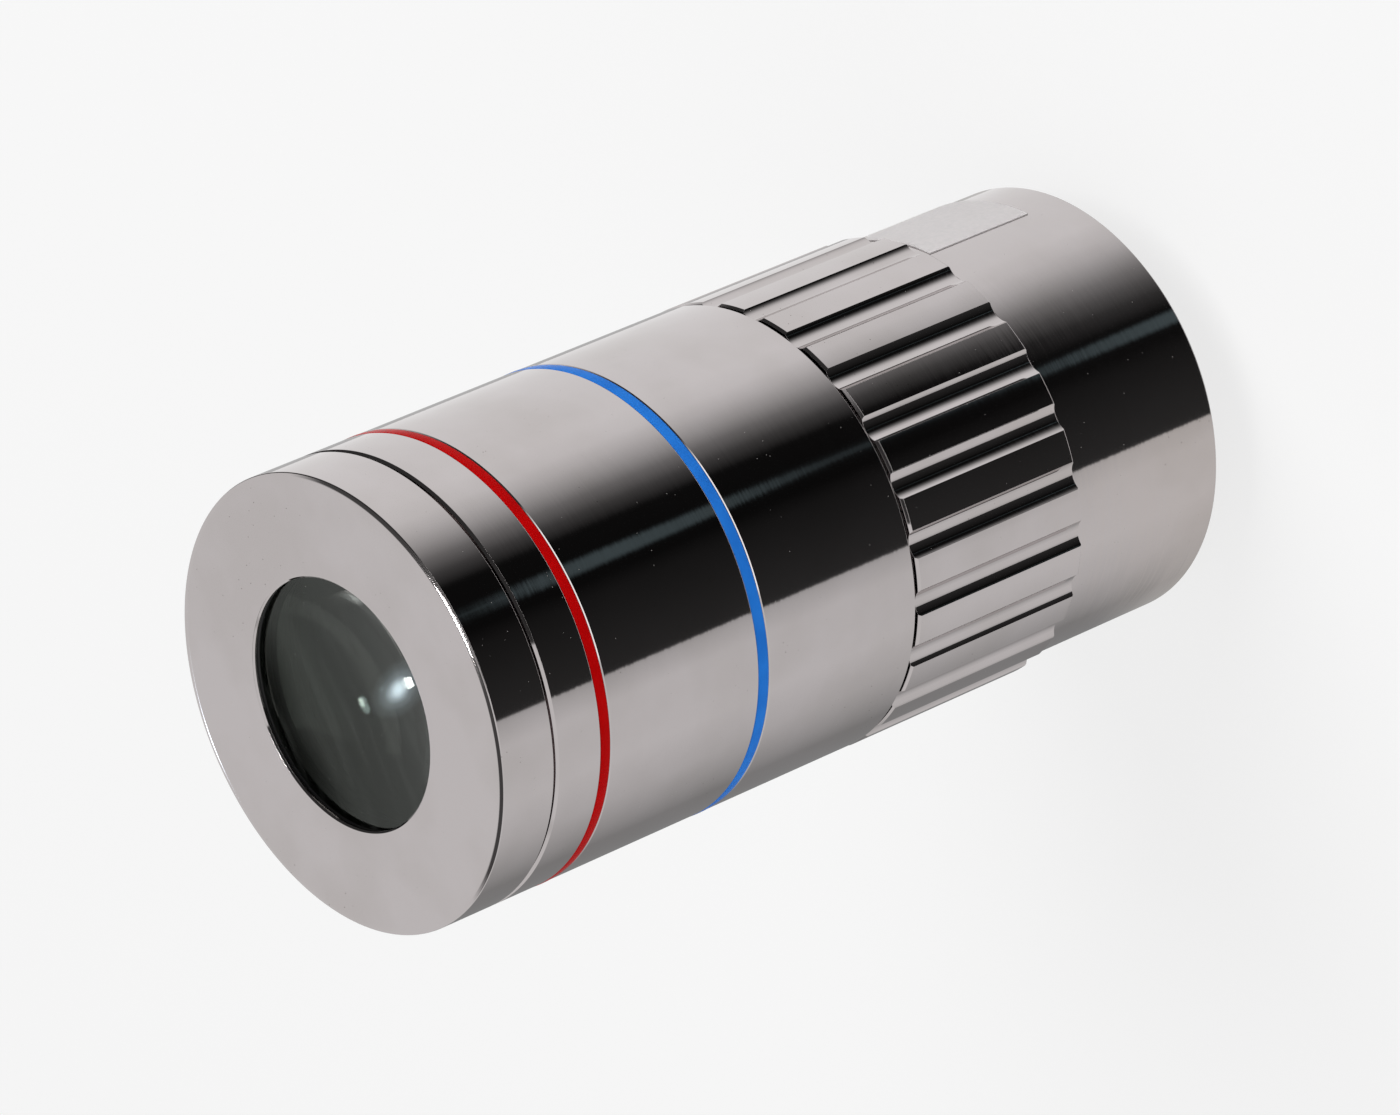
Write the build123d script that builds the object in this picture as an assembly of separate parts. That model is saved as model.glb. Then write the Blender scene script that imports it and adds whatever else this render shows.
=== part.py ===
from build123d import *
import math
import os

# Long-working-distance microscope objective, in millimetres.
# The optical axis is Z. The mounting shoulder lies at Z = 0, the front face points to +Z.

# Outside of the objective
barrel_d = 41.0            # front cap and front barrel
shoulder_to_front = 84.8   # mounting shoulder to front face
cap_length = 6.0           # front face to the seam behind the cap
barrel_length = 41.2       # seam to the step in front of the grip
grip_length = 20.0         # fluted stretch
land_rise = 0.05           # the grip's lands stand this far outside the barrel
rear_step = 0.6            # the rear sleeve lies this far inside the barrel
edge_chamfer = 0.25        # outer edge of the front face
rear_chamfer = 0.35        # outer edge of the rear face

# Seam between cap and barrel
seam_width = 0.3
seam_depth = 0.9
seam_chamfer = 0.2

# Enamel bands in turned grooves of the barrel
red_band_from_front = 10.85
red_band_width = 1.1
blue_band_from_front = 28.8
blue_band_width = 1.2
band_depth = 0.4
band_crown = 0.05          # height of the enamel's crown above the barrel

# Fluted grip
flute_count = 24
flute_width = 2.54
flute_depth = 0.55
flute_phase = 11.2         # degrees from +X to the first flute
grip_gap = 0.35            # narrow neck between barrel and lands
grip_gap_depth = 1.2
land_chamfer = 0.2         # front end of the lands
step_chamfer = 0.12        # barrel's rear edge, lands' rear edge and rear sleeve's front edge

# Front aperture and the front lens behind it
face_width = 9.25          # flat front face, from the barrel's outside in to the aperture
aperture_chamfer = 0.15
aperture_lip = 0.35        # thickness of the cap at the aperture
lip_overhang = 0.15        # the cap's lip stands this far in front of the cell's bore
cap_face = 1.1             # thickness of the cap's face
lens_recess = 0.85         # front face to the rim of the front lens

# Mounting thread and shoulder
thread_d = 26.0            # major diameter, fine pitch
thread_length = 5.0
thread_chamfer = 0.5
relief_width = 0.9         # groove in the shoulder around the thread's root
relief_depth = 0.5
stub_wall = 2.2
lip_width = 0.8            # lip of the body that carries the sleeves
lip_thickness = 1.2
web_thickness = 3.5        # floor of the body

# Walls of the nested tubes, from the outside inwards
sleeve_wall = 2.3
body_wall = 1.2
tube_wall = 1.5
spigot_length = 6.0        # cap's spigot inside the barrel
spigot_gap = 0.8           # cap's spigot to the end of the body
tube_lip_width = 3.0       # inner lip at the rear end of the lens tube
tube_lip_thickness = 2.0
parfocal_height = 2.5
flange_thickness = 2.5     # flange of the front cell on the lens tube
nose_wall = 0.9            # front cell's nose inside the cap

# Clearances
slide_fit = 0.02           # radial, turned pieces that slide into each other
cap_clearance = 0.25       # radial, cap around the lens tube
lip_clearance = 0.05       # radial, seat lip outside the polished surface

# Glass
# Radii of curvature run from front to rear; a positive one bulges towards the front.
# Those of the front groups hold for the design aperture and grow with the real one.
# Thicknesses give each element's thinnest glass, at its edge or on the axis.
design_aperture_d = 22.5
seat_flat = 0.8            # ground flat at the rim, on which a lens seats
air_gap = 0.6              # least space between neighbouring groups
seat_thickness = 1.0       # least thickness of a cell's seat lip
front_lens_radii = (-80.0, -24.0)
front_lens_glass = (3.2,)
meniscus_radii = (-70.0, -30.0)
meniscus_glass = (2.6,)
meniscus_wall = 2.4        # cell wall outside the glass
first_doublet_radii = (140.0, 30.0, -40.0)
first_doublet_glass = (1.8, 1.0)
first_doublet_wall = 1.65
triplet_radii = (45.0, -32.0, 40.0, -60.0)
triplet_glass = (1.2, 1.8, 1.2)
triplet_wall = 2.0
second_doublet_radii = (32.0, -45.0, 60.0)
second_doublet_glass = (1.2, 1.8)
second_doublet_wall = 3.4
rear_doublet_radii = (14.0, -20.0, 11.0)
rear_doublet_glass = (1.2, 1.4)
rear_doublet_d = 13.0
rear_meniscus_radii = (-10.0, -13.0)
rear_meniscus_glass = (2.6,)
rear_meniscus_d = 11.0

# Retaining rings, spacer and stop
front_ring_height = 1.6
front_ring_wall = 0.75
spacer_wall = 1.4
rear_lip = 1.2             # lip between the two rear lenses
rear_cell_rim = 1.2        # rear cell in front of its doublet
rear_cell_flange = 2.0     # full-width flanges at both ends of the rear cell
rear_cell_wall = 2.4       # waist of the rear cell outside the doublet
stop_d = 16.0
stop_thickness = 0.6
stop_aperture = 5.6
rear_ring_height = 1.2
rear_ring_wall = 1.8
slot_width = 1.2           # spanner slots of the retaining rings
slot_depth = 0.7

# Sizes that follow from these
barrel_r = barrel_d / 2
land_r = barrel_r + land_rise
rear_r = barrel_r - rear_step
thread_r = thread_d / 2
stub_bore_r = thread_r - stub_wall
aperture_r = barrel_r - face_width
radius_scale = 2 * aperture_r / design_aperture_d

seam_z = shoulder_to_front - cap_length
grip_front_z = seam_z - barrel_length
grip_rear_z = grip_front_z - grip_length
cap_under_z = shoulder_to_front - cap_face
spigot_end_z = seam_z - spigot_length
body_front_z = spigot_end_z - spigot_gap
tube_rear_z = web_thickness + parfocal_height
tube_front_z = cap_under_z - flange_thickness
rear_cell_z = tube_rear_z + tube_lip_thickness

sleeve_bore_r = barrel_r - sleeve_wall
body_r = sleeve_bore_r - slide_fit
body_bore_r = body_r - body_wall
tube_r = body_bore_r - slide_fit
tube_bore_r = tube_r - tube_wall
tube_lip_r = tube_bore_r - tube_lip_width
cell_r = tube_bore_r - slide_fit
body_lip_r = body_r + lip_width
nose_bore_r = aperture_r + lip_overhang
front_lens_r = nose_bore_r + seat_flat
nose_r = front_lens_r + nose_wall


def turned(outline):
    """Solid of revolution about Z from a closed outline of (radius, height) points."""
    return revolve(Plane.XZ * make_face(Polyline(*outline, close=True)), Axis.Z)


def washer(inner_r, outer_r, low_z, high_z):
    """Plain turned ring."""
    return turned([(inner_r, low_z), (outer_r, low_z), (outer_r, high_z), (inner_r, high_z)])


def bulge(radius, at_r):
    """Height of a polished surface's vertex above its circle of radius at_r."""
    return math.copysign(abs(radius) - math.sqrt(radius**2 - at_r**2), radius)


def grown(radii):
    """Radii of curvature of a front group, grown with the aperture."""
    return [radius_scale * radius for radius in radii]


class LensGroup:
    """One lens, or several cemented ones, worked out from the front rim or the rear flat."""

    def __init__(self, radii, glass, rim_r):
        self.radii = radii
        self.rim_r = rim_r
        self.clear_r = rim_r - seat_flat
        last = len(radii) - 1
        self.reach = [self.clear_r if i in (0, last) else rim_r for i in range(len(radii))]
        self.bulges = [bulge(c, r) for c, r in zip(radii, self.reach)]
        self.vertices = [0.0]
        for i, least in enumerate(glass):
            thickness = least + max(0.0, self.bulges[i] - self.bulges[i + 1])
            self.vertices.append(self.vertices[-1] - thickness)

    def rim(self, i):
        """Height of a surface at its own reach."""
        return self.vertices[i] - self.bulges[i]

    def top(self):
        return max(self.vertices[0], self.rim(0))

    def bottom(self):
        return min(self.vertices[-1], self.rim(-1))

    def shift(self, dz):
        self.vertices = [z + dz for z in self.vertices]
        return self

    def surface(self, i):
        """Half outline of a polished surface, from the axis to its reach."""
        middle_r = self.reach[i] / 2
        middle = (middle_r, self.vertices[i] - bulge(self.radii[i], middle_r))
        return ThreePointArc((0, self.vertices[i]), middle, (self.reach[i], self.rim(i)))

    def element(self, i):
        """Solid of one glass element, with a ground flat where its rim is free."""
        front = self.surface(i)
        rear = self.surface(i + 1)
        rim = [(self.rim_r, self.rim(i)), (self.rim_r, self.rim(i + 1))]
        if self.reach[i] < self.rim_r:
            rim.insert(0, (self.reach[i], self.rim(i)))
        if self.reach[i + 1] < self.rim_r:
            rim.append((self.reach[i + 1], self.rim(i + 1)))
        axis = Line((0, self.vertices[i]), (0, self.vertices[i + 1]))
        outline = make_face([front, Polyline(*rim), rear, axis])
        return revolve(Plane.XZ * outline, Axis.Z)


def seated_cell(group, top_z, bottom_z):
    """Cell whose rear lip seats the group's rear flat."""
    pocket_r = group.rim_r + slide_fit
    lip_r = group.clear_r + lip_clearance
    seat_z = group.rim(-1)
    return turned([
        (lip_r, bottom_z), (cell_r, bottom_z), (cell_r, top_z),
        (pocket_r, top_z), (pocket_r, seat_z), (lip_r, seat_z),
    ])


def slotted_ring(inner_r, outer_r, low_z, high_z):
    """Retaining ring with two spanner slots across its rear face."""
    slot = Pos(0, 0, low_z) * Box(2 * outer_r + slot_width, slot_width, 2 * slot_depth)
    return washer(inner_r, outer_r, low_z, high_z) - slot


def build_front_cap():
    seam_front_z = seam_z + seam_width
    front_z = shoulder_to_front
    counterbore_r = nose_r + slide_fit
    lip_z = front_z - aperture_lip
    bore_r = tube_r + cap_clearance
    return turned([
        (aperture_r + aperture_chamfer, front_z), (barrel_r - edge_chamfer, front_z),
        (barrel_r, front_z - edge_chamfer), (barrel_r, seam_front_z + seam_chamfer),
        (barrel_r - seam_chamfer, seam_front_z), (barrel_r - seam_depth, seam_front_z),
        (barrel_r - seam_depth, seam_z), (body_r, seam_z), (body_r, spigot_end_z),
        (bore_r, spigot_end_z), (bore_r, cap_under_z), (counterbore_r, cap_under_z),
        (counterbore_r, lip_z), (aperture_r, lip_z), (aperture_r, front_z - aperture_chamfer),
    ])


def band_edges(from_front, width):
    """Rear and front height of an enamel band."""
    front_z = shoulder_to_front - from_front
    return front_z - width, front_z


def build_front_barrel():
    groove_r = barrel_r - band_depth
    outline = [
        (sleeve_bore_r, grip_front_z), (barrel_r - step_chamfer, grip_front_z),
        (barrel_r, grip_front_z + step_chamfer),
    ]
    for band in ((blue_band_from_front, blue_band_width), (red_band_from_front, red_band_width)):
        low_z, high_z = band_edges(*band)
        outline += [(barrel_r, low_z), (groove_r, low_z), (groove_r, high_z), (barrel_r, high_z)]
    outline += [
        (barrel_r, seam_z - seam_chamfer), (barrel_r - seam_chamfer, seam_z), (sleeve_bore_r, seam_z),
    ]
    return turned(outline)


def build_band(from_front, width):
    """Enamel that fills its groove, with a low crown."""
    low_z, high_z = band_edges(from_front, width)
    groove_r = barrel_r - band_depth
    walls = Polyline((barrel_r, low_z), (groove_r, low_z), (groove_r, high_z), (barrel_r, high_z))
    crown = ThreePointArc(
        (barrel_r, high_z), (barrel_r + band_crown, (low_z + high_z) / 2), (barrel_r, low_z)
    )
    return revolve(Plane.XZ * make_face([walls, crown]), Axis.Z)


def build_grip_ring():
    neck_r = barrel_r - grip_gap_depth
    land_front_z = grip_front_z - grip_gap
    ring = turned([
        (sleeve_bore_r, grip_rear_z), (land_r - step_chamfer, grip_rear_z),
        (land_r, grip_rear_z + step_chamfer), (land_r, land_front_z - land_chamfer),
        (land_r - land_chamfer, land_front_z), (neck_r, land_front_z),
        (neck_r, grip_front_z), (sleeve_bore_r, grip_front_z),
    ])
    cutter_r = (flute_width**2 / 4 + flute_depth**2) / (2 * flute_depth)
    centre_r = land_r - flute_depth + cutter_r
    cutter = Pos(0, 0, grip_rear_z + grip_length / 2) * Cylinder(cutter_r, 2 * grip_length)
    return ring - PolarLocations(centre_r, flute_count, flute_phase) * cutter


def build_rear_sleeve():
    recess_r = body_lip_r + slide_fit
    return turned([
        (recess_r, 0), (rear_r - rear_chamfer, 0), (rear_r, rear_chamfer),
        (rear_r, grip_rear_z - step_chamfer), (rear_r - step_chamfer, grip_rear_z),
        (sleeve_bore_r, grip_rear_z), (sleeve_bore_r, lip_thickness), (recess_r, lip_thickness),
    ])


def build_mount_body():
    relief_r = thread_r + relief_width
    return turned([
        (stub_bore_r, -thread_length), (thread_r - thread_chamfer, -thread_length),
        (thread_r, thread_chamfer - thread_length), (thread_r, relief_depth),
        (relief_r, relief_depth), (relief_r, 0), (body_lip_r, 0), (body_lip_r, lip_thickness),
        (body_r, lip_thickness), (body_r, body_front_z), (body_bore_r, body_front_z),
        (body_bore_r, web_thickness), (stub_bore_r, web_thickness),
    ])


def build_lens_tube():
    return turned([
        (tube_lip_r, tube_rear_z), (tube_r, tube_rear_z), (tube_r, tube_front_z),
        (tube_bore_r, tube_front_z), (tube_bore_r, rear_cell_z), (tube_lip_r, rear_cell_z),
    ])


def build_front_cell(group, bottom_z):
    pocket_r = group.rim_r + slide_fit
    nose_z = shoulder_to_front - aperture_lip
    return turned([
        (nose_bore_r, nose_z), (nose_r, nose_z), (nose_r, cap_under_z), (tube_r, cap_under_z),
        (tube_r, tube_front_z), (cell_r, tube_front_z), (cell_r, bottom_z), (pocket_r, bottom_z),
        (pocket_r, group.rim(0)), (nose_bore_r, group.rim(0)),
    ])


def build_rear_cell(doublet, meniscus, stop_z, top_z):
    stop_pocket_r = stop_d / 2 + slide_fit
    doublet_pocket_r = doublet.rim_r + slide_fit
    meniscus_pocket_r = meniscus.rim_r + slide_fit
    lip_r = meniscus.clear_r + lip_clearance
    waist_r = max(doublet.rim_r, stop_pocket_r) + rear_cell_wall
    return turned([
        (stop_pocket_r, rear_cell_z), (cell_r, rear_cell_z),
        (cell_r, rear_cell_z + rear_cell_flange), (waist_r, rear_cell_z + rear_cell_flange),
        (waist_r, top_z - rear_cell_flange), (cell_r, top_z - rear_cell_flange), (cell_r, top_z),
        (doublet_pocket_r, top_z), (doublet_pocket_r, doublet.rim(-1)), (lip_r, doublet.rim(-1)),
        (lip_r, meniscus.rim(0)), (meniscus_pocket_r, meniscus.rim(0)),
        (meniscus_pocket_r, stop_z), (stop_pocket_r, stop_z),
    ])


def build_aperture_stop(low_z):
    """Thin diaphragm, bevelled to a fine edge at its hole."""
    high_z = low_z + stop_thickness
    hole_r = stop_aperture / 2
    return turned([
        (hole_r + stop_thickness / 2, low_z), (stop_d / 2, low_z), (stop_d / 2, high_z),
        (hole_r, high_z), (hole_r, low_z + stop_thickness / 2),
    ])


# Lens stack, from the front lens down to the spacer tube
pieces = {}

front_lens = LensGroup(grown(front_lens_radii), front_lens_glass, front_lens_r)
front_lens.shift(shoulder_to_front - lens_recess - front_lens.rim(0))
stack_z = front_lens.bottom() - air_gap / 2
ring_top_z = front_lens.rim(-1)
pieces["front_lens"] = front_lens.element(0)
pieces["front_cell"] = build_front_cell(front_lens, stack_z)
pieces["front_retaining_ring"] = slotted_ring(
    front_lens_r - front_ring_wall, front_lens_r, ring_top_z - front_ring_height, ring_top_z
)

stacked_groups = (
    ("meniscus", meniscus_radii, meniscus_glass, meniscus_wall, ("lens",)),
    ("first_doublet", first_doublet_radii, first_doublet_glass, first_doublet_wall,
     ("flint", "crown")),
    ("triplet", triplet_radii, triplet_glass, triplet_wall, ("front_crown", "flint", "rear_crown")),
    ("second_doublet", second_doublet_radii, second_doublet_glass, second_doublet_wall,
     ("crown", "flint")),
)
for name, radii, glass, wall, elements in stacked_groups:
    group = LensGroup(grown(radii), glass, cell_r - wall)
    group.shift(stack_z - air_gap / 2 - group.top())
    bottom_z = min(group.bottom() - air_gap / 2, group.rim(-1) - seat_thickness)
    pieces[f"{name}_cell"] = seated_cell(group, stack_z, bottom_z)
    for i, element in enumerate(elements):
        pieces[f"{name}_{element}"] = group.element(i)
    stack_z = bottom_z

# Rear group, from its retaining ring up
ring_z = rear_cell_z + rear_ring_height
stop_z = ring_z + stop_thickness
rear_meniscus = LensGroup(rear_meniscus_radii, rear_meniscus_glass, rear_meniscus_d / 2)
rear_meniscus.shift(stop_z + air_gap - rear_meniscus.bottom())
rear_doublet = LensGroup(rear_doublet_radii, rear_doublet_glass, rear_doublet_d / 2)
rear_doublet.shift(rear_meniscus.rim(0) + rear_lip - rear_doublet.rim(-1))
rear_cell_top_z = rear_doublet.top() + rear_cell_rim
pieces["rear_meniscus"] = rear_meniscus.element(0)
pieces["rear_doublet_crown"] = rear_doublet.element(0)
pieces["rear_doublet_flint"] = rear_doublet.element(1)
pieces["rear_cell"] = build_rear_cell(rear_doublet, rear_meniscus, stop_z, rear_cell_top_z)
pieces["aperture_stop"] = build_aperture_stop(ring_z)
pieces["rear_retaining_ring"] = slotted_ring(
    stop_d / 2 - rear_ring_wall, stop_d / 2, rear_cell_z, ring_z
)
pieces["spacer_tube"] = washer(cell_r - spacer_wall, cell_r, rear_cell_top_z, stack_z)

# Tubes, sleeves and bands around the stack
pieces["lens_tube"] = build_lens_tube()
pieces["parfocal_ring"] = washer(tube_lip_r, tube_r, web_thickness, tube_rear_z)
pieces["mount_body"] = build_mount_body()
pieces["rear_sleeve"] = build_rear_sleeve()
pieces["grip_ring"] = build_grip_ring()
pieces["front_barrel"] = build_front_barrel()
pieces["red_band"] = build_band(red_band_from_front, red_band_width)
pieces["blue_band"] = build_band(blue_band_from_front, blue_band_width)
pieces["front_cap"] = build_front_cap()

os.makedirs("parts", exist_ok=True)
for name, piece in pieces.items():
    export_step(piece, f"parts/{name}.step")
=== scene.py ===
"""Looks of a long-working-distance microscope objective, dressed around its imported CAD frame.

Lengths are millimetres until a mesh is written, which is in metres. Angles are degrees.
The optical axis is Z; angles about it run from +X towards +Y.
"""

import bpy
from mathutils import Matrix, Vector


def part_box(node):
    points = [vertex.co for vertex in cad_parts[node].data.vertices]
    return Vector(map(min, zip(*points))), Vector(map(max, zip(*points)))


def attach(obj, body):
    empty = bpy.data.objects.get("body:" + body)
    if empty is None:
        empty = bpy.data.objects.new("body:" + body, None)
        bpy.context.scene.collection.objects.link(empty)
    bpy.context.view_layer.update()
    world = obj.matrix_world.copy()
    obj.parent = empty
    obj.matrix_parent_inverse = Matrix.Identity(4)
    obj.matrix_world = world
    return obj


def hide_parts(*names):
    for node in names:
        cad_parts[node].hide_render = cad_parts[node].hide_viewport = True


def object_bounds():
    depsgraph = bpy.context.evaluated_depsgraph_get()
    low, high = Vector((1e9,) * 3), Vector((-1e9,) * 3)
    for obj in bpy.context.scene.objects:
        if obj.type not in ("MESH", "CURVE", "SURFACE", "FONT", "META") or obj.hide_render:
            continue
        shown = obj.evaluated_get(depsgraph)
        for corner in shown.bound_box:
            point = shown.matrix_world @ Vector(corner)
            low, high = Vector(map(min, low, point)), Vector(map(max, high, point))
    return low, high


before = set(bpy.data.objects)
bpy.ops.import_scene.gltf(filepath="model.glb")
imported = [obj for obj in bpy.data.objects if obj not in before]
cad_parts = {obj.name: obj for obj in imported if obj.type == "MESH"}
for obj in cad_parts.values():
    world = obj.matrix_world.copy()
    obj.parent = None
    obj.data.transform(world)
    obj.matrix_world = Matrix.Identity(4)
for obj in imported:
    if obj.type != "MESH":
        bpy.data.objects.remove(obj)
cad_box = [list(corner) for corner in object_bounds()]

import logging
import math
from dataclasses import dataclass
from enum import Enum
from typing import Any, Sequence, Union

import bpy
import numpy as np
from mathutils import Matrix, Vector

log = logging.getLogger("objective")

MM = 0.001             # metres in a millimetre
BODY = "root"          # nothing on the objective moves
COLUMNS = 360          # facets round a turned piece
EDGE_BREAK = 0.04      # round on a turned edge that has no larger one
ROUND_LIMIT = 0.45     # share of an outline's shorter side that a round may take
CROWN_INDEX = 1.45     # fluor crown
FLINT_INDEX = 1.52     # light flint

Piece = bpy.types.Object
Material = bpy.types.Material
Node = bpy.types.Node
Tree = bpy.types.NodeTree
Link = Union[bpy.types.Node, bpy.types.NodeSocket]
Colour = tuple[float, float, float, float]
Span = tuple[float, float]
Stops = tuple[Span, ...]


class Slot(Enum):
    """Material slots of the record."""

    NICKEL = "nickel_plate"
    RED = "red_enamel"
    BLUE = "blue_enamel"
    BRASS = "black_brass"
    ALUMINIUM = "black_aluminium"
    CROWN = "crown_glass"
    FLINT = "flint_glass"


def linear(colour: str) -> Colour:
    """Turns an sRGB hex colour into linear light.

    Args:
        colour: Colour as "#RRGGBB".
    Returns:
        Linear red, green and blue, and an alpha of 1.
    """
    parts = [int(colour[i:i + 2], 16) / 255 for i in (1, 3, 5)]
    light = [p / 12.92 if p <= 0.04045 else ((p + 0.055) / 1.055) ** 2.4 for p in parts]
    return (light[0], light[1], light[2], 1.0)


def add_node(tree: Tree, kind: str, inputs: dict[Any, Any] | None = None,
             stops: Sequence[tuple[float, Any]] = (), **settings: Any) -> Node:
    """Adds a node, sets it up and links it.

    Args:
        tree: Node tree that gets the node.
        kind: Blender's name of the node type, without its first word.
        inputs: Values, sockets or nodes by input name or number. A node stands for its first output
            in use, and a single number for a grey where a colour is due.
        stops: Positions of a colour ramp, with their colours or greys.
        settings: The node's own properties.
    Returns:
        The new node.
    """
    node = tree.nodes.new(f"ShaderNode{kind}")
    for key, value in settings.items():
        setattr(node, key, value)
    for key, value in (inputs or {}).items():
        entry = node.inputs[key]
        if isinstance(value, bpy.types.Node):
            value = next(socket for socket in value.outputs if socket.enabled)
        if isinstance(value, bpy.types.NodeSocket):
            tree.links.new(value, entry)
        elif isinstance(value, float) and entry.type == "RGBA":
            entry.default_value = (value, value, value, 1.0)
        else:
            entry.default_value = value
    for i, (position, colour) in enumerate(stops):
        elements = node.color_ramp.elements     # a new ramp has two
        stop = elements[i] if i < 2 else elements.new(position)
        stop.position = position
        stop.color = colour if isinstance(colour, tuple) else (colour, colour, colour, 1.0)
    return node


def new_material(name: str) -> tuple[Material, Tree]:
    """Starts an empty material.

    Args:
        name: The material's name.
    Returns:
        The material and its node tree.
    """
    material = bpy.data.materials.new(name)
    material.use_nodes = True
    material.node_tree.nodes.clear()
    return material, material.node_tree


def place_in_mm(tree: Tree) -> Node:
    """Adds the surface point's place on the object, in millimetres."""
    where = add_node(tree, "TexCoord").outputs["Object"]
    return add_node(tree, "VectorMath", {0: where, 1: (1 / MM, 1 / MM, 1 / MM)}, operation="MULTIPLY")


def along_cut(tree: Tree, place: Link, across: float, along: float) -> Node:
    """Stretches a pattern along the path of a turning tool.

    Args:
        tree: Node tree that gets the nodes.
        place: Place on the object, in millimetres.
        across: Spacing of the marks, measured across the cut.
        along: Length over which a mark changes.
    Returns:
        Node with one unit for each mark, on walls and on end faces alike.
    """
    flat = add_node(tree, "VectorMath", {0: place, 1: (1, 1, 0)}, operation="MULTIPLY")
    radius = add_node(tree, "VectorMath", {0: flat}, operation="LENGTH")
    x, y, z = add_node(tree, "SeparateXYZ", {0: place}).outputs
    feed = add_node(tree, "Math", {0: z, 1: radius}, operation="ADD")
    parts = add_node(tree, "CombineXYZ", {0: x, 1: y, 2: feed})
    marks = (1 / along, 1 / along, 1 / across)
    return add_node(tree, "VectorMath", {0: parts, 1: marks}, operation="MULTIPLY")


def dots(tree: Tree, place: Link, spacing: float, size: float) -> Node:
    """Scatters small round dots over a surface.

    Args:
        tree: Node tree that gets the nodes.
        place: Place on the object, in millimetres.
        spacing: Mean distance between dots in space.
        size: Radius of the largest dots.
    Returns:
        Node that is 1 inside a dot and 0 outside.
    """
    cells = add_node(tree, "TexVoronoi", {"Vector": place, "Scale": 1 / spacing})
    edge = size / spacing
    solid = 0.6 * edge      # from here outwards a dot fades
    return add_node(tree, "MapRange", {0: cells, 1: edge, 2: solid})


def toned(tree: Tree, pattern: Link, tones: tuple[str, str], span: Span, height: float) -> dict[str, Node]:
    """Works a pattern into a surface's colour and relief.

    Args:
        tree: Node tree that gets the nodes.
        pattern: The pattern.
        tones: Colours at a low and a high value of the pattern.
        span: Those two values.
        height: Height of the relief, in millimetres.
    Returns:
        Inputs for the surface's shader.
    """
    stops = [(value, linear(tone)) for value, tone in zip(span, tones)]
    return {
        "Base Color": add_node(tree, "ValToRGB", {0: pattern}, stops=stops),
        "Normal": add_node(tree, "Bump", {"Height": pattern, "Distance": height * MM, "Strength": 1.0}),
    }


@dataclass(frozen=True)
class PlatedNickel:
    """Bright nickel plate on turned and polished brass.

    The eye sees a clear, slightly warm grey mirror. The polishing has left faint turning marks
    round the axis and a little cloudiness. Specks of dust lie on it, and here and there a cluster
    of small brown pits shows where the plate has worn.
    """

    name: str = "nickel_plate_polished"
    colour: str = "#C8C2C2"
    cloudy_colour: str = "#C2BCBB"
    cloud_size: float = 9.0
    cloud_span: Span = (0.35, 0.6)
    roughness: float = 0.05
    rougher: float = 0.065
    mark_spacing: float = 0.25      # real marks are finer; these are as coarse as shows
    mark_length: float = 9.0
    mark_span: Span = (0.3, 0.7)
    mark_tilt: float = 0.013        # how far a mark tilts the surface, as a share of its normal
    speck_colour: str = "#A9A6A2"
    speck_spacing: float = 1.05
    speck_size: float = 0.045
    pit_colour: str = "#54463E"
    pit_spacing: float = 0.8
    pit_size: float = 0.055
    pit_span: Span = (0.46, 0.4)    # pits come up where the clouds sink from the first value to the second

    def material(self) -> Material:
        """Builds the finish.

        Returns:
            The material.
        """
        material, tree = new_material(self.name)
        place = place_in_mm(tree)
        marks = add_node(tree, "TexNoise", {
            "Vector": along_cut(tree, place, self.mark_spacing, self.mark_length),
            "Scale": 1.0, "Detail": 3.0, "Roughness": 0.6})
        clouds = add_node(tree, "TexNoise", {"Vector": place, "Scale": 1 / self.cloud_size, "Detail": 3.0})
        tone = add_node(tree, "ValToRGB", {0: clouds}, stops=(
            (self.cloud_span[0], linear(self.cloudy_colour)), (self.cloud_span[1], linear(self.colour))))
        worn = add_node(tree, "MapRange", {0: clouds, 1: self.pit_span[0], 2: self.pit_span[1]})
        dips = dots(tree, place, self.pit_spacing, self.pit_size)
        pits = add_node(tree, "Math", {0: worn, 1: dips}, operation="MULTIPLY")
        pitted = add_node(tree, "Mix", {0: pits, 6: tone, 7: linear(self.pit_colour)}, data_type="RGBA")
        specks = dots(tree, place, self.speck_spacing, self.speck_size)
        colour = add_node(tree, "Mix", {0: specks, 6: pitted, 7: linear(self.speck_colour)},
                          data_type="RGBA")
        clean = add_node(tree, "Math", {0: 1.0, 1: specks}, operation="SUBTRACT")
        polish = add_node(tree, "MapRange", {
            0: marks, 1: self.mark_span[0], 2: self.mark_span[1], 3: self.roughness, 4: self.rougher})
        level = add_node(tree, "VectorMath", {0: marks.outputs["Color"], 1: (0.5, 0.5, 0.5)},
                         operation="SUBTRACT")
        tilt = add_node(tree, "VectorMath", {0: level, "Scale": self.mark_tilt}, operation="SCALE")
        facing = add_node(tree, "NewGeometry").outputs["Normal"]
        tilted = add_node(tree, "VectorMath", {0: facing, 1: tilt}, operation="ADD")
        normal = add_node(tree, "VectorMath", {0: tilted}, operation="NORMALIZE")
        shader = add_node(tree, "BsdfPrincipled", {
            "Base Color": colour, "Metallic": clean, "Roughness": polish, "Normal": normal})
        add_node(tree, "OutputMaterial", {"Surface": shader})
        return material


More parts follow.
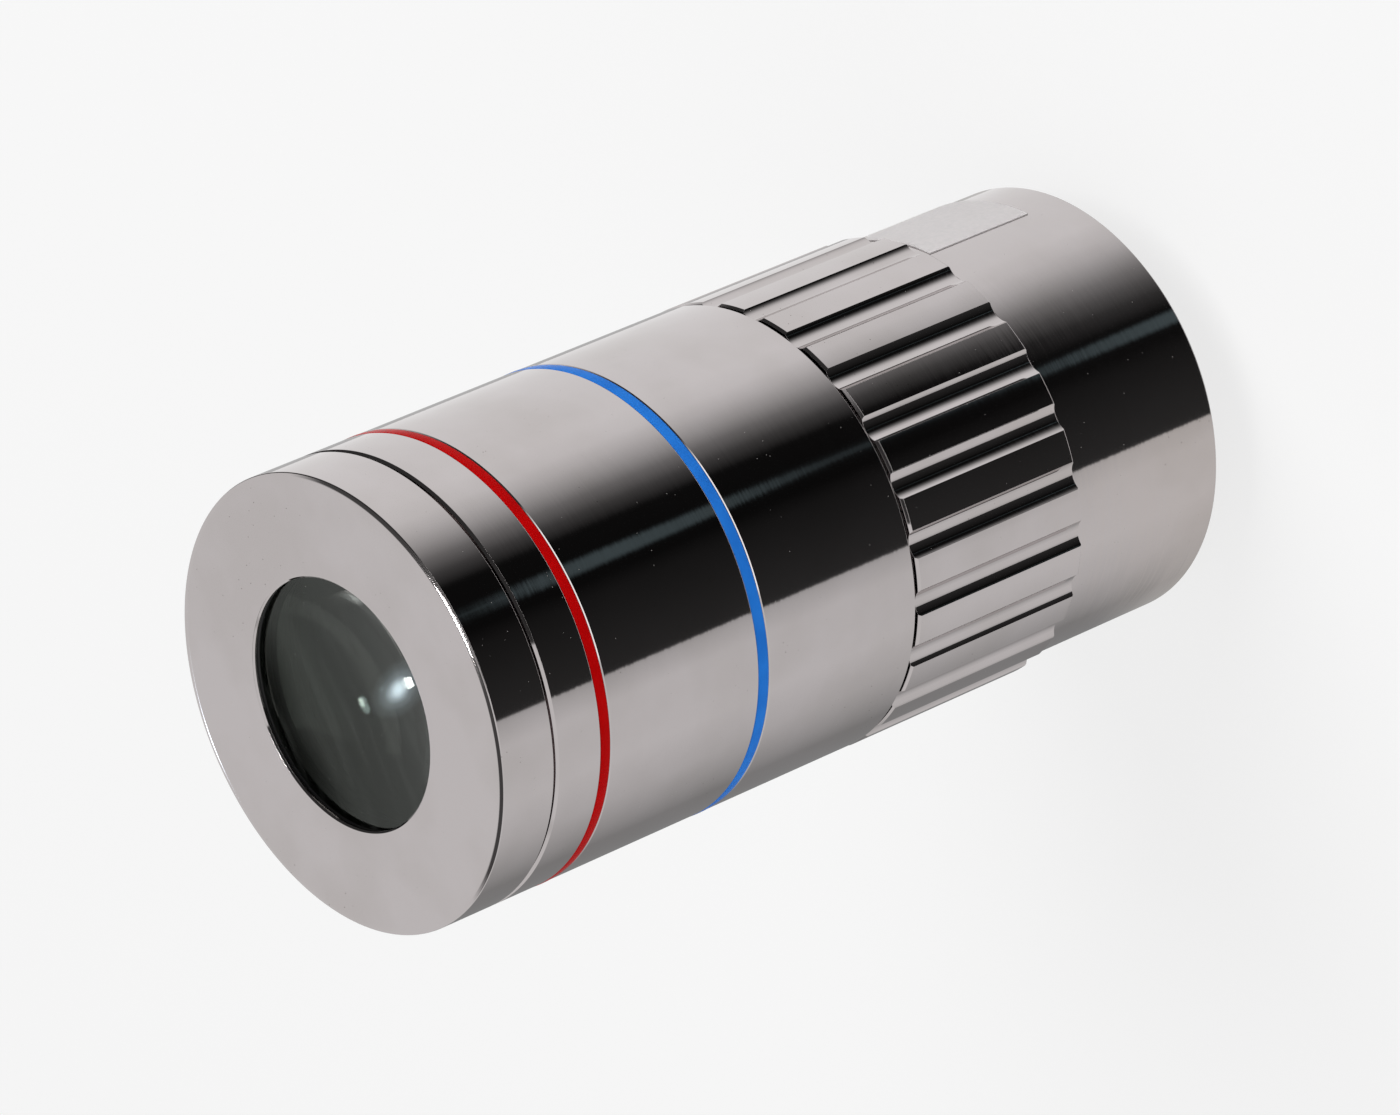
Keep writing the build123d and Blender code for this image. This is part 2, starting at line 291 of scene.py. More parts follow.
@dataclass(frozen=True)
class FilledEnamel:
    """Enamel run into a turned groove and baked.

    The eye sees a deep, even colour with a wet gloss, a little uneven where it has flowed.
    """

    name: str
    colour: str
    deep_colour: str
    roughness: float = 0.14
    gloss: float = 0.02
    flow_length: float = 3.0
    flow_height: float = 0.004
    tone_span: Span = (0.35, 0.65)

    def material(self) -> Material:
        """Builds the finish.

        Returns:
            The material.
        """
        material, tree = new_material(self.name)
        flow = add_node(tree, "TexNoise", {
            "Vector": place_in_mm(tree), "Scale": 1 / self.flow_length, "Detail": 2.0})
        tones = toned(tree, flow, (self.deep_colour, self.colour), self.tone_span, self.flow_height)
        shader = add_node(tree, "BsdfPrincipled", {
            **tones, "Roughness": self.roughness, "Specular IOR Level": self.gloss})
        add_node(tree, "OutputMaterial", {"Surface": shader})
        return material


@dataclass(frozen=True)
class BlackenedMetal:
    """Turned metal with a matt black oxide or anodised skin.

    The eye sees soot black, with a painted sheen: the colour is lighter on the crests of the turning
    marks.
    """

    name: str
    colour: str
    # lighter colour on the crests of the turning marks, a painted sheen
    crest_sheen_colour: str
    roughness: float = 0.48
    mark_spacing: float = 0.12
    mark_length: float = 9.0
    mark_height: float = 0.002
    tone_span: Span = (0.4, 0.75)

    def material(self) -> Material:
        """Builds the finish.

        Returns:
            The material.
        """
        material, tree = new_material(self.name)
        marks = add_node(tree, "TexNoise", {
            "Vector": along_cut(tree, place_in_mm(tree), self.mark_spacing, self.mark_length),
            "Scale": 1.0, "Detail": 3.0})
        # the crests of the marks take the lighter colour, which paints their sheen
        tones = toned(tree, marks, (self.colour, self.crest_sheen_colour), self.tone_span, self.mark_height)
        shader = add_node(tree, "BsdfPrincipled", {**tones, "Roughness": self.roughness})
        add_node(tree, "OutputMaterial", {"Surface": shader})
        return material


@dataclass(frozen=True)
class CoatedGlass:
    """Polished optical glass with an anti-reflection coating.

    The eye sees a clear dark depth, with weak reflections in the coating's residual tint. Specks of
    dust show on it like fine pale dots, and a worn front has been wiped, which leaves faint streaks. The
    ground edge is dark and dull, so that nothing glitters there.
    """

    name: str
    colour: str
    tint: str
    ior: float
    reflection: float = 0.06
    roughness: float = 0.0
    speck_colour: str = "#8C8E8A"
    speck_spacing: float = 0.9
    speck_size: float = 0.045
    wipe_share: float = 0.0         # how much of the strongest wipe mark is a dull film
    wipe_length: float = 16.0
    wipe_width: float = 1.3
    wipe_span: Span = (0.48, 0.78)
    edge_colour: str = "#3E403C"
    edge_slope: float = 0.3         # the edge is where the surface faces this little along the axis
    edge_roughness: float = 0.9

    def material(self) -> Material:
        """Builds the finish.

        Returns:
            The material.
        """
        material, tree = new_material(self.name)
        place = place_in_mm(tree)
        specks = dots(tree, place, self.speck_spacing, self.speck_size)
        stretch = (1 / self.wipe_length, 1 / self.wipe_width, 1 / self.wipe_width)
        wiped = add_node(tree, "VectorMath", {0: place, 1: stretch}, operation="MULTIPLY")
        wipes = add_node(tree, "TexNoise", {
            "Vector": wiped, "Scale": 1.0, "Detail": 2.0, "Distortion": 0.4})
        film = add_node(tree, "MapRange", {
            0: wipes, 1: self.wipe_span[0], 2: self.wipe_span[1], 4: self.wipe_share})
        facing = add_node(tree, "NewGeometry").outputs["Normal"]
        along = add_node(tree, "SeparateXYZ", {0: facing}).outputs[2]
        steep = add_node(tree, "Math", {0: along}, operation="ABSOLUTE")
        edge = add_node(tree, "Math", {0: steep, 1: self.edge_slope}, operation="LESS_THAN")
        soiled = add_node(tree, "Math", {0: specks, 1: film}, operation="MAXIMUM")
        opaque = add_node(tree, "Math", {0: soiled, 1: edge}, operation="MAXIMUM")
        clear = add_node(tree, "Math", {0: 1.0, 1: opaque}, operation="SUBTRACT")
        dusty = add_node(tree, "Mix", {0: specks, 6: linear(self.colour), 7: linear(self.speck_colour)},
                         data_type="RGBA")
        colour = add_node(tree, "Mix", {0: edge, 6: dusty, 7: linear(self.edge_colour)}, data_type="RGBA")
        polish = add_node(tree, "MapRange", {0: edge, 3: self.roughness, 4: self.edge_roughness})
        shader = add_node(tree, "BsdfPrincipled", {
            "Base Color": colour, "Transmission Weight": clear, "Roughness": polish, "IOR": self.ior,
            "Specular IOR Level": self.reflection, "Specular Tint": linear(self.tint)})
        add_node(tree, "OutputMaterial", {"Surface": shader})
        return material


@dataclass(frozen=True)
class LabelPaper:
    """Coated white label paper, cut and stuck on.

    The eye sees a dull off-white with the paper's fine mottle.
    """

    name: str = "label_paper_coated"
    colour: str = "#F2EDED"
    shade_colour: str = "#EAE6E6"
    roughness: float = 0.55
    mottle: float = 0.4
    mottle_height: float = 0.004
    tone_span: Span = (0.3, 0.7)

    def material(self) -> Material:
        """Builds the finish.

        Returns:
            The material.
        """
        material, tree = new_material(self.name)
        fibre = add_node(tree, "TexNoise", {
            "Vector": place_in_mm(tree), "Scale": 1 / self.mottle, "Detail": 4.0})
        tones = toned(tree, fibre, (self.shade_colour, self.colour), self.tone_span, self.mottle_height)
        shader = add_node(tree, "BsdfPrincipled", {**tones, "Roughness": self.roughness})
        add_node(tree, "OutputMaterial", {"Surface": shader})
        return material


class Finishes:
    """Every finish of the objective, made once.

    Besides those of the record's slots, these are the cap's finer polish, the worn coat of the front
    lens, the hazy coat of the lens behind it and the label's paper.
    """

    def __init__(self) -> None:
        """Builds the materials."""
        self.by_slot: dict[Slot, Material] = {
            Slot.NICKEL: PlatedNickel().material(),
            Slot.RED: FilledEnamel("red_enamel_baked", "#C80608", "#BC0507").material(),
            Slot.BLUE: FilledEnamel("blue_enamel_baked", "#2D85EB", "#287BE0").material(),
            # the second colour of each blackened metal is a painted sheen on the crests of its turning
            # marks
            Slot.BRASS: BlackenedMetal("brass_oxide_black", "#121213", "#1D1C1B").material(),
            Slot.ALUMINIUM: BlackenedMetal("aluminium_anodised_black", "#141416", "#1E1E20").material(),
            Slot.CROWN: CoatedGlass("crown_glass_coated", "#B6BAB6", "#E2F2DC", CROWN_INDEX).material(),
            Slot.FLINT: CoatedGlass("flint_glass_coated", "#B8B8B0", "#E4DCF6", FLINT_INDEX).material(),
        }
        self.cap_plate = PlatedNickel("nickel_plate_lapped", mark_tilt=0.003).material()
        self.front_glass = CoatedGlass("crown_glass_worn_coat", "#A6AAA6", "#E6F2E4", CROWN_INDEX,
                                       reflection=0.17, wipe_share=0.038).material()
        self.hazy_glass = CoatedGlass("crown_glass_hazy_coat", "#A6AAA6", "#D4F0F2", CROWN_INDEX,
                                      reflection=1.0, roughness=0.02).material()
        self.paper = LabelPaper().material()

    def dress(self, piece: Piece, slot: Slot) -> None:
        """Gives a piece the finish of a slot in the record."""
        piece.data.materials.clear()
        piece.data.materials.append(self.by_slot[slot])


@dataclass(frozen=True)
class Corner:
    """A corner of a turned outline, and the round that breaks its edge."""

    r: float
    z: float
    break_r: float = EDGE_BREAK
    steps: int = 4


def rounded(corners: Sequence[Corner]) -> np.ndarray:
    """Rounds the corners of a closed outline.

    Args:
        corners: Corners in counter-clockwise order, with radius to the right and height up.
    Returns:
        Rows of radius, height, the outward normal's two parts and the corner's number.
    """
    rows = []
    for i, corner in enumerate(corners):
        here = np.array((corner.r, corner.z))
        last, following = corners[i - 1], corners[(i + 1) % len(corners)]
        back = np.array((last.r, last.z)) - here
        ahead = np.array((following.r, following.z)) - here
        room = ROUND_LIMIT * min(np.linalg.norm(back), np.linalg.norm(ahead))
        back /= np.linalg.norm(back)
        ahead /= np.linalg.norm(ahead)
        start = math.atan2(back[0], -back[1])
        turn = math.remainder(math.atan2(-ahead[0], ahead[1]) - start, math.tau)
        half = (math.pi - abs(turn)) / 2
        radius = min(corner.break_r, room * math.tan(half))
        middle = back + ahead
        centre = here + middle / np.linalg.norm(middle) * radius / math.sin(half)
        side = math.copysign(radius, turn)
        for step in range(corner.steps + 1):
            angle = start + turn * step / corner.steps
            normal = np.array((math.cos(angle), math.sin(angle)))
            rows.append((*(centre + side * normal), *normal, i))
    return np.array(rows)


def skin(name: str, points: np.ndarray, normals: np.ndarray, closed: bool = True) -> Piece:
    """Makes a smooth mesh over a grid of points.

    Args:
        name: The piece's name.
        points: Places in millimetres, by column round the axis and row along the outline.
        normals: Surface normals, in the same order.
        closed: Whether the last column joins the first; otherwise both ends get a cap.
    Returns:
        The new object, linked to the scene.
    """
    columns, rows = points.shape[:2]
    index = np.arange(columns * rows).reshape(columns, rows)
    low, high = (index, np.roll(index, -1, axis=0)) if closed else (index[:-1], index[1:])
    quads = np.stack([low, high, np.roll(high, -1, axis=1), np.roll(low, -1, axis=1)], axis=-1)
    faces = quads.reshape(-1, 4).tolist()
    flat = points.reshape(-1, 3)
    facing = normals.reshape(-1, 3)
    if not closed:
        for ring, order, sign in ((points[0], 1, -1), (points[-1], -1, 1)):
            across = sign * np.cross((0.0, 0.0, 1.0), ring.mean(axis=0))
            faces.append((len(flat) + np.arange(rows))[::order].tolist())
            flat = np.vstack((flat, ring))
            facing = np.vstack((facing, np.tile(across / np.linalg.norm(across), (rows, 1))))
    mesh = bpy.data.meshes.new(name)
    mesh.from_pydata((flat * MM).tolist(), [], faces)
    mesh.shade_smooth()
    mesh.normals_split_custom_set_from_vertices(facing.tolist())
    piece = bpy.data.objects.new(name, mesh)
    bpy.context.scene.collection.objects.link(piece)
    return piece


def swept(rows: np.ndarray, angles: np.ndarray) -> tuple[np.ndarray, np.ndarray]:
    """Turns outline rows about the axis.

    Args:
        rows: Rows of radius, height and the normal's two parts.
        angles: Angles of the columns, in radians.
    Returns:
        Points and normals by column and row.
    """
    cos, sin = np.cos(angles)[:, None], np.sin(angles)[:, None]
    tall = np.ones_like(cos)
    points = np.stack([cos * rows[:, 0], sin * rows[:, 0], tall * rows[:, 1]], axis=-1)
    normals = np.stack([cos * rows[:, 2], sin * rows[:, 2], tall * rows[:, 3]], axis=-1)
    return points, normals


def full_turn(columns: int = COLUMNS) -> np.ndarray:
    """Angles of the columns of a whole turn, in radians."""
    return np.linspace(0.0, math.tau, columns, endpoint=False)


def turned(name: str, corners: Sequence[Corner]) -> Piece:
    """Makes a turned piece from its outline.

    Args:
        name: The piece's name.
        corners: Corners of the closed outline.
    Returns:
        The new object.
    """
    return skin(name, *swept(rounded(corners), full_turn()))


@dataclass(frozen=True)
class Extent:
    """Outer radius and lowest and highest place of a CAD node, in millimetres."""

    radius: float
    low: float
    high: float

    @classmethod
    def of(cls, node: str) -> "Extent":
        """Measures a node of the frame."""
        low, high = (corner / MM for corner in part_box(node))
        return cls(round(max(-low.x, -low.y, high.x, high.y), 2), round(low.z, 2), round(high.z, 2))


def stand_for(piece: Piece, node: str, slot: Slot, finishes: Finishes) -> None:
    """Lets a finished piece take the place of a CAD node.

    Args:
        piece: The new piece.
        node: The node that it replaces.
        slot: The record's slot of its finish.
        finishes: The objective's finishes.
    """
    finishes.dress(piece, slot)
    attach(piece, BODY)
    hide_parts(node)
    log.info("%s stands for %s: %d faces", piece.name, node, len(piece.data.polygons))


@dataclass
class FrontCap:
    """Cap with the flat front face, the aperture and the lip over the front cell."""

    bevel_width: float = 0.44       # the polisher has dubbed the front edge over
    bevel_drop: float = 0.095
    bevel_round: float = 1.6
    edge_round: float = 0.12
    edge_steps: int = 8
    aperture_r: float = 11.25
    aperture_chamfer: float = 0.15
    aperture_lip: float = 0.35
    counterbore_r: float = 13.12
    face_thickness: float = 1.1
    bore_r: float = 17.21
    spigot_r: float = 18.18
    seam_width: float = 0.3
    seam_depth: float = 0.9
    seam_chamfer: float = 0.12

    def build(self) -> Piece:
        """Turns the cap.

        Returns:
            The cap's object.
        """
        size = Extent.of("front_cap")
        seam = Extent.of("front_barrel").high
        seam_front = seam + self.seam_width
        floor_r = size.radius - self.seam_depth
        under = size.high - self.face_thickness
        lip = size.high - self.aperture_lip
        return turned("cap_turned", (
            Corner(self.bore_r, size.low), Corner(self.spigot_r, size.low),
            Corner(self.spigot_r, seam), Corner(floor_r, seam), Corner(floor_r, seam_front),
            Corner(size.radius - self.seam_chamfer, seam_front),
            Corner(size.radius, seam_front + self.seam_chamfer),
            Corner(size.radius, size.high - self.bevel_drop, self.edge_round, self.edge_steps),
            Corner(size.radius - self.bevel_width, size.high, self.bevel_round),
            Corner(self.aperture_r + self.aperture_chamfer, size.high),
            Corner(self.aperture_r, size.high - self.aperture_chamfer),
            Corner(self.aperture_r, lip), Corner(self.counterbore_r, lip),
            Corner(self.counterbore_r, under), Corner(self.bore_r, under),
        ))

    def dress(self, finishes: Finishes) -> None:
        """Builds the cap and gives it its finish, which is polished finer than the barrel's.

        Args:
            finishes: The objective's finishes.
        """
        cap = self.build()
        stand_for(cap, "front_cap", Slot.NICKEL, finishes)
        cap.data.materials[0] = finishes.cap_plate


@dataclass
class FrontCell:
    """Cell of the front lens, with fine anti-glare ridges in the bore of its nose."""

    nose_bore_r: float = 11.4
    nose_r: float = 13.1
    flange_low: float = 81.2
    flange_high: float = 83.7
    body_r: float = 15.44
    pocket_r: float = 12.22
    ridge_count: int = 2
    ridge_depth: float = 0.1
    ridge_round: float = 0.02

    def build(self) -> Piece:
        """Turns the cell.

        Returns:
            The cell's object.
        """
        size = Extent.of("front_cell")
        lens_rim = Extent.of("front_lens").high
        pitch = (size.high - lens_rim) / (self.ridge_count + 0.5)
        ridges = []
        for i in range(self.ridge_count):
            crest = size.high - pitch * (i + 0.5)
            ridges.append(Corner(self.nose_bore_r + self.ridge_depth, crest, self.ridge_round))
            ridges.append(Corner(self.nose_bore_r, crest - pitch / 2, self.ridge_round))
        return turned("front_cell_ridged", (
            Corner(self.pocket_r, size.low), Corner(self.body_r, size.low),
            Corner(self.body_r, self.flange_low), Corner(size.radius, self.flange_low),
            Corner(size.radius, self.flange_high), Corner(self.nose_r, self.flange_high),
            Corner(self.nose_r, size.high), Corner(self.nose_bore_r, size.high), *ridges,
            Corner(self.nose_bore_r, lens_rim, self.ridge_round), Corner(self.pocket_r, lens_rim),
        ))

    def dress(self, finishes: Finishes) -> None:
        """Builds the cell and gives it its finish."""
        stand_for(self.build(), "front_cell", Slot.BRASS, finishes)


@dataclass
class FrontBarrel:
    """Barrel with two grooves, each filled with a band of enamel."""

    bore_r: float = 18.2
    seam_chamfer: float = 0.22
    rear_chamfer: float = 0.12
    groove_depth: float = 0.4
    groove_edge: float = 0.07
    bevel_width: float = 0.13       # each groove's rear edge is broken with a shallow bevel
    bevel_drop: float = 0.05
    enamel_play: float = 0.005
    shoulder_round: float = 0.14
    shoulder_steps: int = 8
    shoulder_r_above: float = 0.005
    crown_round: float = 6.0
    crown_steps: int = 6

    def build_barrel(self) -> Piece:
        """Turns the barrel with its grooves.

        Returns:
            The barrel's object.
        """
        size = Extent.of("front_barrel")
        groove_r = size.radius - self.groove_depth
        corners = [
            Corner(self.bore_r, size.low), Corner(size.radius - self.rear_chamfer, size.low),
            Corner(size.radius, size.low + self.rear_chamfer),
        ]
        for band in (Extent.of("blue_band"), Extent.of("red_band")):
            corners += [
                Corner(size.radius, band.low - self.bevel_width),
                Corner(size.radius - self.bevel_drop, band.low), Corner(groove_r, band.low),
                Corner(groove_r, band.high), Corner(size.radius, band.high, self.groove_edge),
            ]
        corners += [
            Corner(size.radius, size.high - self.seam_chamfer),
            Corner(size.radius - self.seam_chamfer, size.high), Corner(self.bore_r, size.high),
        ]
        return turned("barrel_turned", corners)

    def build_band(self, node: str) -> Piece:
        """Fills one groove with enamel that stands in a low crown.

        Args:
            node: The band's CAD node.
        Returns:
            The band's object.
        """
        size = Extent.of(node)
        barrel_r = Extent.of("front_barrel").radius
        low, high = size.low + self.enamel_play, size.high - self.enamel_play
        shoulder_r = barrel_r + self.shoulder_r_above
        floor_r = barrel_r - self.groove_depth
        return turned(f"{node}_crowned", (
            Corner(floor_r, low), Corner(shoulder_r, low, self.shoulder_round, self.shoulder_steps),
            Corner(size.radius, (low + high) / 2, self.crown_round, self.crown_steps),
            Corner(shoulder_r, high, self.shoulder_round, self.shoulder_steps), Corner(floor_r, high),
        ))

    def dress(self, finishes: Finishes) -> None:
        """Builds the barrel and its bands and gives them their finishes.

        Args:
            finishes: The objective's finishes.
        """
        stand_for(self.build_barrel(), "front_barrel", Slot.NICKEL, finishes)
        stand_for(self.build_band("red_band"), "red_band", Slot.RED, finishes)
        stand_for(self.build_band("blue_band"), "blue_band", Slot.BLUE, finishes)


@dataclass
class FlutedGrip:
    """Ring with concave flutes cut along the axis, behind a narrow neck."""

    flute_count: int = 24
    flute_width: float = 2.54
    flute_depth: float = 0.55
    first_flute: float = 11.2
    neck_r: float = 19.3
    neck_width: float = 0.35
    bore_r: float = 18.2
    front_chamfer: float = 0.15     # depth of the lands' front chamfer, which is longer than deep
    front_chamfer_length: float = 0.3
    rear_chamfer: float = 0.12
    edge_break: float = 0.03
    corner_reach: float = 0.03      # half the width of the round between land and chamfer
    land_steps: int = 4
    edge_steps: int = 4
    flute_steps: int = 14
    end_steps: tuple[float, ...] = (0.0, 0.33, 0.67, 1.0)     # along the round at either end

    def section(self, land_r: float, inset: float) -> np.ndarray:
        """Works out the ring's outer section at one height.

        Args:
            land_r: Radius of the lands there.
            inset: How far an end round has drawn the whole section in.
        Returns:
            Four rows, with each column's angle, radius, angle of the normal and share on a land.
        """
        full_r = Extent.of("grip_ring").radius
        cutter_r = (self.flute_width**2 / 4 + self.flute_depth**2) / (2 * self.flute_depth)
        centre_r = full_r - self.flute_depth + cutter_r
        cut_r = cutter_r + inset
        outer_r = land_r - inset
        edge_r = outer_r - self.edge_break
        reach = cut_r + self.edge_break
        beta = math.acos((edge_r**2 + centre_r**2 - reach**2) / (2 * edge_r * centre_r))
        slope = math.atan2(edge_r * math.sin(beta), centre_r - edge_r * math.cos(beta))
        pitch = math.tau / self.flute_count
        columns = []
        for angle in np.linspace(-pitch / 2, -beta, self.land_steps):
            columns.append((outer_r * math.cos(angle), outer_r * math.sin(angle), angle, 1.0))
        for share in np.linspace(0, 1, self.edge_steps + 1)[1:-1]:
            angle = -beta + share * (slope + beta)
            columns.append((
                edge_r * math.cos(beta) + self.edge_break * math.cos(angle),
                -edge_r * math.sin(beta) + self.edge_break * math.sin(angle), angle, 1.0 - share))
        for angle in np.linspace(slope, 0.0, self.flute_steps):
            columns.append((centre_r - cut_r * math.cos(angle), -cut_r * math.sin(angle), angle, 0.0))
        half = np.array(columns)
        mirrored = half[-2:0:-1] * (1, -1, -1, 1)
        period = np.vstack((half, mirrored))
        turns = math.radians(self.first_flute) + pitch * np.arange(self.flute_count)[:, None]
        angles = (np.arctan2(period[:, 1], period[:, 0]) + turns).ravel()
        radii = np.tile(np.hypot(period[:, 0], period[:, 1]), self.flute_count)
        facing = (period[:, 2] + turns).ravel()
        return np.stack([angles, radii, facing, np.tile(period[:, 3], self.flute_count)])

    def outer_rows(self) -> list[tuple[float, float, float, float, float]]:
        """Lists the heights at which the fluted outside is drawn, from rear to front.

        Returns:
            Land radius, height, the land normal's lift, inset and end-round angle of each row.
        """
        size = Extent.of("grip_ring")
        front = size.high - self.neck_width
        reach = self.corner_reach
        fall = self.front_chamfer / self.front_chamfer_length
        front_lift = fall / math.hypot(1.0, fall)
        rear_lift = -math.sqrt(0.5)     # the rear chamfer lies at 45 degrees
        rows = []
        for share in reversed(self.end_steps):
            angle = share * math.pi / 2
            drop = self.edge_break * (1 - math.sin(angle))
            rows.append((size.radius - self.rear_chamfer + drop, size.low + drop, rear_lift,
                         self.edge_break * (1 - math.cos(angle)), -angle))
        rear_corner = size.low + self.rear_chamfer
        front_corner = front - self.front_chamfer_length
        rows.append((size.radius - reach, rear_corner - reach, rear_lift, 0.0, 0.0))
        rows.append((size.radius, rear_corner + reach, 0.0, 0.0, 0.0))
        rows.append((size.radius, front_corner - reach, 0.0, 0.0, 0.0))
        rows.append((size.radius - reach * fall, front_corner + reach, front_lift, 0.0, 0.0))
        for share in self.end_steps:
            angle = share * math.pi / 2
            drop = self.edge_break * (1 - math.sin(angle))
            rows.append((size.radius - self.front_chamfer + drop * fall, front - drop, front_lift,
                         self.edge_break * (1 - math.cos(angle)), angle))
        return rows

    def build(self) -> Piece:
        """Builds the ring from its sections.

        Returns:
            The ring's object.
        """
        size = Extent.of("grip_ring")
        front = size.high - self.neck_width
        spread = self.section(size.radius, 0.0)[0]
        plain = rounded((
            Corner(self.bore_r, size.low), Corner(size.radius - self.rear_chamfer, size.low),
            Corner(size.radius - self.front_chamfer, front), Corner(self.neck_r, front),
            Corner(self.neck_r, size.high), Corner(self.bore_r, size.high),
        ))
        # the fluted rows take the place of the corners 1 and 2
        inside = swept(plain[plain[:, 4] == 0], spread)
        outside = swept(plain[plain[:, 4] >= 3], spread)
        points, normals = [inside[0]], [inside[1]]
        for land_r, height, land_lift, inset, end in self.outer_rows():
            angles, radii, facing, on_land = self.section(land_r, inset)
            lift = on_land * land_lift
            flat = np.sqrt(1 - lift**2)
            lift = lift * math.cos(end) + math.sin(end)
            flat = flat * math.cos(end)
            row = np.stack([radii * np.cos(angles), radii * np.sin(angles),
                            np.full_like(angles, height)], axis=-1)
            normal = np.stack([flat * np.cos(facing), flat * np.sin(facing), lift], axis=-1)
            points.append(row[:, None])
            normals.append((normal / np.linalg.norm(normal, axis=-1, keepdims=True))[:, None])
        points.append(outside[0])
        normals.append(outside[1])
        return skin("grip_fluted", np.concatenate(points, axis=1), np.concatenate(normals, axis=1))

    def dress(self, finishes: Finishes) -> None:
        """Builds the grip and gives it its finish."""
        stand_for(self.build(), "grip_ring", Slot.NICKEL, finishes)


@dataclass
class RearSleeve:
    """Plain sleeve behind the grip, with a bare paper label."""

    recess_r: float = 19.0
    recess_depth: float = 1.2
    bore_r: float = 18.2
    rear_chamfer: float = 0.35
    rear_round: float = 0.06
    front_chamfer: float = 0.12
    label_thickness: float = 0.1
    label_round: float = 0.02
    label_low: float = 4.7
    label_high: float = 16.7
    label_from: float = -36.0
    label_to: float = 19.0
    label_columns: int = 110

    def build_sleeve(self) -> Piece:
        """Turns the sleeve.

        Returns:
            The sleeve's object.
        """
        size = Extent.of("rear_sleeve")
        return turned("rear_sleeve_turned", (
            Corner(self.recess_r, size.low),
            Corner(size.radius - self.rear_chamfer, size.low, self.rear_round),
            Corner(size.radius, size.low + self.rear_chamfer, self.rear_round),
            Corner(size.radius, size.high - self.front_chamfer),
            Corner(size.radius - self.front_chamfer, size.high), Corner(self.bore_r, size.high),
            Corner(self.bore_r, size.low + self.recess_depth),
            Corner(self.recess_r, size.low + self.recess_depth),
        ))

    def build_label(self) -> Piece:
        """Wraps the label round the sleeve.

        Returns:
            The label's object.
        """
        inner_r = Extent.of("rear_sleeve").radius
        outer_r = inner_r + self.label_thickness
        rows = rounded((
            Corner(inner_r, self.label_low, self.label_round / 2),
            Corner(outer_r, self.label_low, self.label_round),
            Corner(outer_r, self.label_high, self.label_round),
            Corner(inner_r, self.label_high, self.label_round / 2),
        ))
        angles = np.radians(np.linspace(self.label_from, self.label_to, self.label_columns))
        return skin("paper_label", *swept(rows, angles), closed=False)

    def dress(self, finishes: Finishes) -> None:
        """Builds the sleeve and its label and gives them their finishes.

        Args:
            finishes: The objective's finishes.
        """
        stand_for(self.build_sleeve(), "rear_sleeve", Slot.NICKEL, finishes)
        label = self.build_label()
        label.data.materials.append(finishes.paper)
        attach(label, BODY)
        log.info("%s lies on the rear sleeve: %d faces", label.name, len(label.data.polygons))


@dataclass
class MountBody:
    """Body tube with the mounting shoulder and the threaded stub."""

    thread_r: float = 13.0
    thread_pitch: float = 0.706
    thread_depth: float = 0.433
    flank_slope: float = math.sqrt(3)     # a 60 degree thread falls this much over its width
    crest_share: float = 1 / 16           # half the width of the thread's crest, as a share of the pitch
    thread_fade: float = 0.5
    first_depth: float = 0.3              # share of its depth with which the thread starts
    rows_to_pitch: int = 14
    thread_columns: int = 240
    stub_bore_r: float = 10.8
    end_chamfer: float = 0.5
    relief_r: float = 13.9
    relief_depth: float = 0.5
    lip_thickness: float = 1.2
    body_r: float = 18.18
    body_bore_r: float = 16.98
    web_thickness: float = 3.5

    def cut_thread(self, heights: np.ndarray, angles: np.ndarray, low: float) -> np.ndarray:
        """Gives the depth of the thread's cut.

        Args:
            heights: Heights on the stub.
            angles: Angles about the axis, in radians.
            low: Height of the stub's end.
        Returns:
            Depth below the thread's major radius.
        """
        pitch = self.thread_pitch
        turns = heights / pitch - angles / math.tau
        off_crest = pitch * np.abs(turns - np.round(turns))
        depth = np.clip((off_crest - pitch * self.crest_share) * self.flank_slope, 0.0, self.thread_depth)
        return depth * np.clip((heights - low) / self.thread_fade, self.first_depth, 1.0)

    def build(self) -> Piece:
        """Turns the body and cuts its thread.

        Returns:
            The body's object.
        """
        size = Extent.of("mount_body")
        rows = rounded((
            Corner(self.stub_bore_r, size.low), Corner(self.thread_r - self.end_chamfer, size.low),
            Corner(self.thread_r, size.low + self.end_chamfer),
            Corner(self.thread_r, self.relief_depth), Corner(self.relief_r, self.relief_depth),
            Corner(self.relief_r, 0.0), Corner(size.radius, 0.0),
            Corner(size.radius, self.lip_thickness), Corner(self.body_r, self.lip_thickness),
            Corner(self.body_r, size.high), Corner(self.body_bore_r, size.high),
            Corner(self.body_bore_r, self.web_thickness), Corner(self.stub_bore_r, self.web_thickness),
        ))
        start, end = size.low + self.end_chamfer + 2 * EDGE_BREAK, self.relief_depth - 2 * EDGE_BREAK
        count = int((end - start) / self.thread_pitch * self.rows_to_pitch)
        heights = np.linspace(start, end, count)
        stub = np.stack([np.full(count, self.thread_r), heights, np.ones(count), np.zeros(count),
                         np.full(count, -1.0)], axis=-1)
        # the threaded rows lie between the corners 2 and 3
        before, after = rows[rows[:, 4] <= 2], rows[rows[:, 4] >= 3]
        angles = full_turn(self.thread_columns)
        points, normals = swept(np.vstack((before, stub, after)), angles)
        cut = slice(len(before), len(before) + count)
        grid, turn = np.meshgrid(heights, angles)
        depth = self.cut_thread(grid, turn, size.low)
        nudge = 0.01
        rise = (self.cut_thread(grid + nudge, turn, size.low)
                - self.cut_thread(grid - nudge, turn, size.low)) / (2 * nudge)
        outward = np.stack([np.cos(turn), np.sin(turn), np.zeros_like(turn)], axis=-1)
        points[:, cut] -= depth[..., None] * outward
        facing = outward + rise[..., None] * np.array((0.0, 0.0, 1.0))
        normals[:, cut] = facing / np.linalg.norm(facing, axis=-1, keepdims=True)
        return skin("mount_body_threaded", points, normals)

    def dress(self, finishes: Finishes) -> None:
        """Builds the body and gives it its finish."""
        stand_for(self.build(), "mount_body", Slot.NICKEL, finishes)


